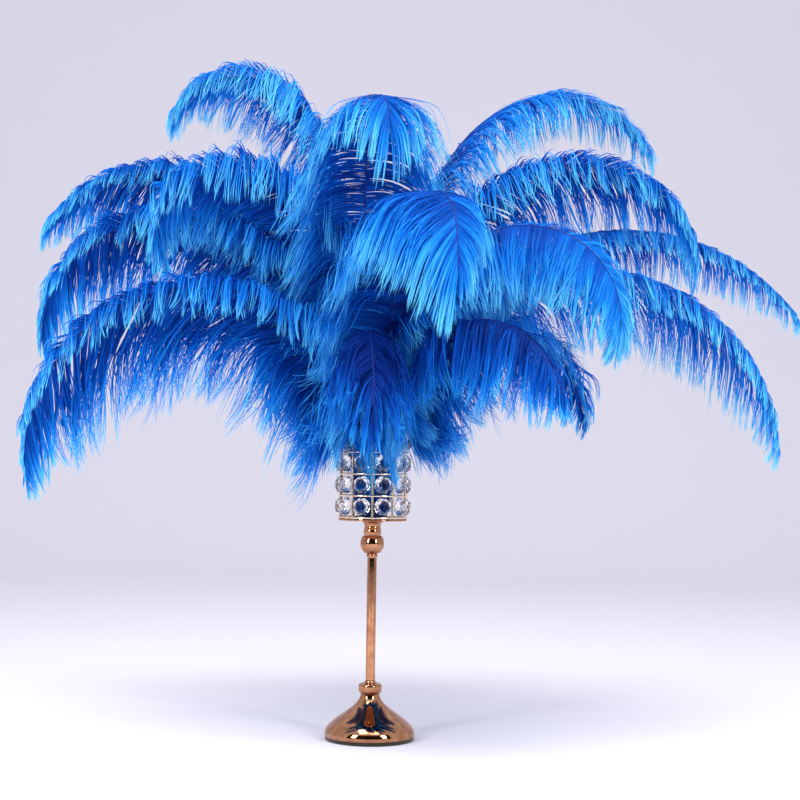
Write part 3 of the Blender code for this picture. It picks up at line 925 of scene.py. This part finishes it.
            made = {name: values[which] for name, values in of_lock.items()}
            near_tip = np.clip((at - 0.72) / 0.28, 0.0, 1.0) ** 1.6
            slant = np.radians(self.slant + (self.tip_slant - self.slant) * near_tip)
            stiff = self.raised_stiffness if raised else 1.0
            stiff *= 0.40 + 0.60 * self.reach(at) / self.barb
            bend = self.bend_at - (self.raised_earlier if raised else 0.0)
            length = self.reach(at) * height * (1.0 + self.lopsided * side)
            made["length"] *= length * (1.0 + shift("length"))
            made["slant"] += slant + shift("slant")
            made["dip"] += math.radians(self.dip) + shift("dip")
            made["sag"] *= self.sag * stiff * (1.0 + shift("sag"))
            made["curl"] += self.curl
            made["bend"] += bend * smooth_step(at / 0.28) + shift("bend")
            made["wander"] += own * rng.uniform(0.0, 0.6, size)
            made["phase"] += shift("phase")
            return made

        guide, _ = self.lie(line, side, middle, habits(middle, np.arange(locks), 0.0))
        path, flat = self.lie(line, side, share, habits(share, lock, 1.0))
        u = np.linspace(0.0, 1.0, self.joints + 1)[None, :, None]
        strays = rng.uniform(0.0, 1.0, n) < self.stray
        pull = np.where(strays, 0.0, of_lock["pull"][lock] * rng.uniform(0.75, 1.0, n))[:, None, None]
        path = path + (guide[lock] - path) * pull * smooth_step((u - self.gather_at) / (1 - self.gather_at))
        # Each barb's tone: its plume's shift with any painted shade in it, its lock's, and its own at random.
        strand = self.tone + 0.55 * of_lock["tone"][lock] + 0.45 * rng.uniform(0.0, 1.0, n)
        # Barbs in the tip part of the plume are painted paler: painted light on the tips, which flop over
        # into the light from above.
        strand = strand + 0.55 * smooth_step(self.past(share))
        # Painted light on the rising vane and painted shade on the hanging one.
        if abs(lift) > self.level:
            strand = strand + (self.raised_painted_light if raised else self.hanging_painted_shade)
        return self.ribbons(self.clear_of_cup(path), flat, strand, rng)

    def clear_of_cup(self, path: Array) -> Array:
        """Barbs that would hang through the cup are laid over its outside."""
        clear, over_rim, ease = 0.0535, 0.022, 0.020
        near = smooth_step((self.rim_height + over_rim - path[..., 2]) / ease)
        radius = np.linalg.norm(path[..., :2], axis=-1)
        wanted = np.maximum(radius, clear * near)
        scale = wanted / np.maximum(radius, 1e-6)
        laid = path.copy()
        laid[..., :2] *= scale[..., None]
        return laid

    def ribbons(self, path: Array, flat: Array, strand: Array, rng: np.random.Generator) -> Shell:
        """Flat tapering ribbons along paths: each keeps its face turned as its path bends, then twists.

        Args:
            path: Places along each barb.
            flat: The direction of each ribbon's width at its root.
            strand: A tone for each barb; for the vanes it also holds painted light and shade set by the
                barb's plume, vane and place on the shaft.
            rng: Seeded random numbers.

        Returns:
            Open ribbons that end in a point.
        """
        count, stations, _ = path.shape
        last = stations - 1
        way = unit(np.gradient(path, axis=1))
        wide = np.empty_like(path)
        held = flat
        for k in range(stations):
            held = unit(held - (held * way[:, k]).sum(1, keepdims=True) * way[:, k])
            wide[:, k] = held
        u = np.linspace(0.0, 1.0, stations)
        root_twist, tip_twist, root_width, tip_width = 0.30, 0.9, 0.55, 0.45
        twist = rng.normal(0.0, root_twist, (count, 1)) + rng.normal(0.0, tip_twist, (count, 1)) * u**2
        across = wide * np.cos(twist)[..., None] + np.cross(way, wide) * np.sin(twist)[..., None]
        from_root = root_width + (1.0 - root_width) * smooth_step(u / 0.2)
        to_tip = 1.0 - (1.0 - tip_width) * smooth_step((u - 0.38) / 0.5)
        taper = from_root * to_tip
        half = 0.5 * self.barb_width * taper[None, :, None] * rng.uniform(0.75, 1.25, (count, 1, 1))
        pair = np.stack([path - across * half, path + across * half], 2)[:, :last].reshape(count, -1, 3)
        points = np.concatenate([pair, path[:, last:]], 1).reshape(-1, 3)
        size = 2 * last + 1
        start = (np.arange(count) * size)[:, None]
        k = 2 * np.arange(last - 1)[None, :]
        quads = np.stack([start + k, start + k + 1, start + k + 3, start + k + 2], -1).reshape(-1, 4)
        tips = np.stack([start + size - 3, start + size - 2, start + size - 1], -1).reshape(-1, 3)
        along = np.concatenate([np.repeat(u[:last], 2), u[last:]]) ** 1.5
        values = {"along": np.tile(along, count), "strand": np.repeat(strand, size)}
        slots = np.ones(len(quads) + len(tips), int)
        return Shell(points, [quads, tips], values, slots)

    def quill(self, line: Line) -> Shell:
        """The shaft: a round horn from the plate through the cup to the tip, drawn down as it goes."""
        foot_radius, _ = self.circle.value
        slot = math.radians(self.slot)
        foot = np.array([foot_radius * math.cos(slot), foot_radius * math.sin(slot), self.foot_height])
        rise = np.linspace(0.0, 1.0, 8, endpoint=False)[:, None]
        path = np.concatenate([foot + (line.place[0] - foot) * rise, line.place[::3]])
        share = np.linspace(0.0, 1.0, len(path))
        radius = self.quill_radius + (self.tip_radius - self.quill_radius) * share
        shell = wire(path, radius, closed=False, sides=8)
        shell.slots = np.zeros(sum(len(f) for f in shell.faces), int)
        return shell

    def fluff(self, rng: np.random.Generator) -> Shell:
        """Short down along the quill inside the cup: straight hairs that stand out all round."""
        n, last, inside = 150, 4, 0.0365
        foot_radius, rim_radius = self.circle.value
        slot = math.radians(self.slot)
        outward = np.array([math.cos(slot), math.sin(slot)])
        rise = rng.uniform(0.06, 1.0, n)
        radius = foot_radius + (rim_radius - foot_radius) * rise
        height = self.foot_height + (self.rim_height - self.foot_height) * rise
        root = np.concatenate([radius[:, None] * outward, height[:, None]], 1)
        turn = rng.uniform(0.0, math.tau, n)
        aim = unit(np.stack([np.cos(turn), np.sin(turn), rng.uniform(0.2, 1.6, n)], 1))
        u = np.linspace(0.0, 1.0, last + 1)[None, :, None]
        path = root[:, None] + aim[:, None] * u * rng.uniform(0.010, 0.022, (n, 1, 1))
        out = np.linalg.norm(path[..., :2], axis=-1, keepdims=True)
        path[..., :2] *= np.minimum(1.0, inside / np.maximum(out, 1e-6))
        path[..., 2] = np.clip(path[..., 2], self.foot_height + 0.002, self.rim_height + 0.010)
        flat = unit(np.cross(aim, [0.0, 0.0, 1.0]))
        return self.ribbons(path, flat, rng.uniform(0.0, 1.0, n), rng)

    def dress(self, shaft: Material, down: Material) -> None:
        """Grows the plume and lets it stand for its node.

        Args:
            shaft: Finish of the quill and shaft.
            down: Finish of the barbs.
        """
        rng = np.random.default_rng(self.seed)
        line = self.line()
        shells = [self.quill(line), self.vane(line, -1, rng), self.vane(line, 1, rng), self.fluff(rng)]
        feather = Shell.joined(shells).piece(f"{self.node}_feather", [shaft, down], 180)
        ride_for(feather, self.node)


@dataclass
class Bouquet:
    """Twenty plumes: fourteen that face the front and six behind them."""

    def plumes(self) -> list[Plume]:
        """The plumes, each leaning its own way."""
        outer, inner = Circle.OUTER, Circle.INNER
        umbrella = {"slant": 70.0, "sag": 1.9, "bend_at": 0.32, "curl": 0.9, "soft": 0.5}
        # The plumes behind are painted darker through their tone, as painted shade from the plumes in front
        # and above.
        behind = {"barbs": 560, "joints": 9, "barb_width": 0.0019, "tone": -0.35, "unruly": 1.6,
                  "tip_reach": 0.30}
        rear = (
            ("plume_back_high", inner, 105, 88, 0.680, -70, 2.00),
            ("plume_back_right_high", inner, 70, 62, 0.700, -80, 1.50),
            ("plume_back_left", outer, 135, 146, 0.680, -80, 1.40),
            ("plume_back_left_low", outer, 105, 115, 0.700, -85, 1.20),
            ("plume_back_right_low", outer, 45, 35, 0.620, -80, 1.10),
            ("plume_back_low", outer, 75, 80, 0.520, -65, 1.00),
        )
        return [
            Plume("plume_front", outer, 285, 292, 0.675, -92, 1.90, -15, 0, 0, 0.135, 1,
                  lopsided=0.24, tip_reach=0.45, **umbrella),
            Plume("plume_right_front", inner, 315, 328, 0.695, -98, 1.60, 6, -20, -35, 0.125, 2, tone=0.35,
                  upper=1.0, **umbrella),
            Plume("plume_left_low", outer, 225, 198, 0.775, -95, 0.97, -15, -55, -45, 0.180, 3,
                  tip_reach=0.22, slant=50.0, upper=0.46, unruly=1.3),
            Plume("plume_right_low", outer, 345, 355, 0.825, -82, 1.00, 0, 20, 20, 0.145, 4,
                  tip_reach=0.36, tone=0.25, upper=0.50),
            Plume("plume_left_middle", inner, 190, 196, 0.675, -100, 2.60, -5, -60, -50, 0.125, 5,
                  tip_reach=0.50, upper=0.95, bend_at=0.46, sag=3.0),
            Plume("plume_top", inner, 240, 265, 0.660, -85, 4.50, 25, 0, 0, 0.150, 6, slant=80.0,
                  tip_reach=0.55, bend_at=0.40, soft=0.55),
            Plume("plume_right_high", inner, 0, 6, 0.820, -75, 1.80, 0, 55, 30, 0.125, 7),
            Plume("plume_top_left", inner, 140, 140, 0.800, -60, 3.60, 35, -50, -45, 0.115, 8,
                  tone=0.10, upper=0.9, tip_reach=0.50),
            Plume("plume_top_right", inner, 35, 36, 0.880, -50, 2.30, -20, 10, 10, 0.110, 9,
                  tip_reach=0.50, upper=0.45, tone=0.20),
            Plume("plume_left_far", outer, 165, 170, 0.765, -50, 1.70, 10, -75, -60, 0.115, 10,
                  tip_reach=0.50, tone=-0.10, upper=0.65),
            Plume("plume_left_back", outer, 195, 176, 0.780, -90, 1.50, 5, -75, -55, 0.125, 11,
                  tone=-0.05, upper=0.65),
            Plume("plume_right_far", outer, 15, 12, 0.860, -46, 1.00, 0, 10, 10, 0.110, 12, tone=0.12,
                  upper=0.5),
            # The two low front plumes are painted much darker through their tone, as painted shade under the
            # plumes above them.
            Plume("plume_front_right_low", outer, 315, 308, 0.540, -65, 0.95, 0, 10, 0, 0.130, 13,
                  tip_reach=0.30, tone=-0.50, bend_at=0.10, barbs=750, unruly=2.2),
            Plume("plume_front_low", outer, 255, 275, 0.480, -85, 1.10, 0, 0, 0, 0.120, 14,
                  tone=-0.80, bend_at=0.05, slant=70.0, barbs=420, unruly=4.0),
            *(Plume(*row, 0, 0, 0, 0.120, seed, **behind) for seed, row in enumerate(rear, 15)),
        ]

    def dress(self, shaft: Material, down: Material) -> None:
        """Grows every plume in the two finishes."""
        for plume in self.plumes():
            plume.dress(shaft, down)


# ---------------------------------------------------------------- stage, lights and camera
@dataclass
class Studio:
    """A pale sweep, soft lights, a dark curtain and the camera."""

    backdrop: str = "#e3e2ec"
    eye: tuple[float, float, float] = (0.034, -2.0, 0.341)
    aim: tuple[float, float, float] = (0.034, 0.0, 0.446)
    view_angle: float = 29.7
    roll: float = 0.8
    middle: Vector = field(default_factory=lambda: Vector((0.0, 0.0, 0.5)))

    def sweep(self) -> None:
        """The floor: flat around the stand, then a quarter circle up into a far wall."""
        bend, away, tall, half = 1.6, 3.2, 4.5, 7.0
        turn = np.linspace(0.0, math.pi / 2, 24)
        flat = np.stack([np.linspace(-6.0, away, 20), np.zeros(20)], 1)
        curve = np.stack([away + bend * np.sin(turn), bend * (1.0 - np.cos(turn))], 1)
        wall = np.stack([np.full(6, away + bend), np.linspace(bend, tall, 6)], 1)
        line = np.concatenate([flat, curve[1:], wall[1:]])
        across = np.linspace(-half, half, 15)
        y = np.repeat(line[:, :1], across.size, 1)
        z = np.repeat(line[:, 1:], across.size, 1)
        points = np.stack([np.broadcast_to(across, y.shape), y, z], -1).reshape(-1, 3)
        paper = MattCover("pale_paper_sweep", self.backdrop, 0.9).material()
        faces = [grid_faces(len(line), across.size, wrap_columns=False)]
        Shell(points, faces).piece("paper_sweep", [paper], 60.0)

    def light(self, name: str, place: tuple, size: tuple, watts: float, tint: str) -> None:
        """A soft box of a width and height, turned to the middle of the bouquet."""
        lamp = bpy.data.lights.new(name, "AREA")
        lamp.shape = "RECTANGLE"
        lamp.size, lamp.size_y = size
        lamp.energy = watts
        lamp.color = linear(tint)[:3]
        box = bpy.data.objects.new(name, lamp)
        box.location = place
        box.rotation_euler = (self.middle - Vector(place)).to_track_quat("-Z", "Y").to_euler()
        bpy.context.scene.collection.objects.link(box)

    def lights(self) -> None:
        """Two soft boxes either side of the camera, one overhead and a pale room."""
        self.light("left_soft_box", (-1.35, -1.6, 1.05), (0.42, 1.2), 26.0, "#ffffff")
        self.light("right_soft_box", (1.35, -1.6, 1.05), (0.42, 1.2), 25.0, "#ffffff")
        self.light("overhead_soft_box", (0.0, -1.1, 2.9), (2.2, 1.4), 72.0, "#fffdf8")
        world = bpy.data.worlds.new("pale_room")
        bpy.context.scene.world = world
        world.use_nodes = True
        tree = world.node_tree
        tree.nodes.clear()
        shade = add_node(tree, "Background", {"Color": linear("#eeedf4"), "Strength": 0.94})
        out = add_node(tree, "OutputWorld")
        tree.links.new(shade.outputs["Background"], out.inputs["Surface"])

    def curtain(self) -> None:
        """A dark hanging bent round behind the camera, which the polished metal shows between highlights."""
        away, foot, top = 3.4, 0.02, 3.0
        turn = np.radians(np.linspace(-148.0, -32.0, 30))
        low = np.stack([away * np.cos(turn), away * np.sin(turn), np.full(turn.size, foot)], 1)
        points = np.concatenate([low, low + [0.0, 0.0, top]])
        velvet = MattCover("dark_brown_velvet", "#2a1a14", 1.0).material()
        faces = [grid_faces(2, turn.size, wrap_columns=False)]
        hanging = Shell(points, faces).piece("velvet_curtain", [velvet], None)
        hanging.visible_camera = False

    def camera(self) -> None:
        """The camera, a little above the cup's foot and looking up at the plumes."""
        lens = bpy.data.cameras.new("camera")
        lens.lens = lens.sensor_width / (2 * math.tan(math.radians(self.view_angle) / 2))
        made = bpy.data.objects.new("camera", lens)
        turn = (Vector(self.aim) - Vector(self.eye)).to_track_quat("-Z", "Y").to_matrix().to_4x4()
        made.matrix_world = (
            Matrix.Translation(self.eye) @ turn @ Matrix.Rotation(math.radians(self.roll), 4, "Z")
        )
        bpy.context.scene.collection.objects.link(made)
        bpy.context.scene.camera = made
        bpy.context.scene.view_settings.view_transform = "Standard"

    def build(self) -> None:
        """Sets the stage."""
        self.camera()
        self.lights()
        self.curtain()
        self.sweep()


def main() -> None:
    """Builds the stage, the stand, the cup and the bouquet, in that order."""
    logging.basicConfig(level=logging.INFO, format="%(message)s", stream=sys.stdout)
    metal = RoseGoldPlate().material()
    # The cage is the same rose gold as the stand; its pale cream tint is a painted highlight that makes the
    # thin bars read as bright reflections.
    wire_metal = RoseGoldPlate("rose_gold_wire_painted_highlight", "#f0dcc6", "#d9b697", 0.16, 0.26).material()
    Studio().build()
    Stand().dress(metal, BaseFelt().material())
    CrystalCup().dress(wire_metal, CutCrystal().material())
    Bouquet().dress(DyedShaft().material(), DyedDown().material())


if __name__ == "__main__":
    main()
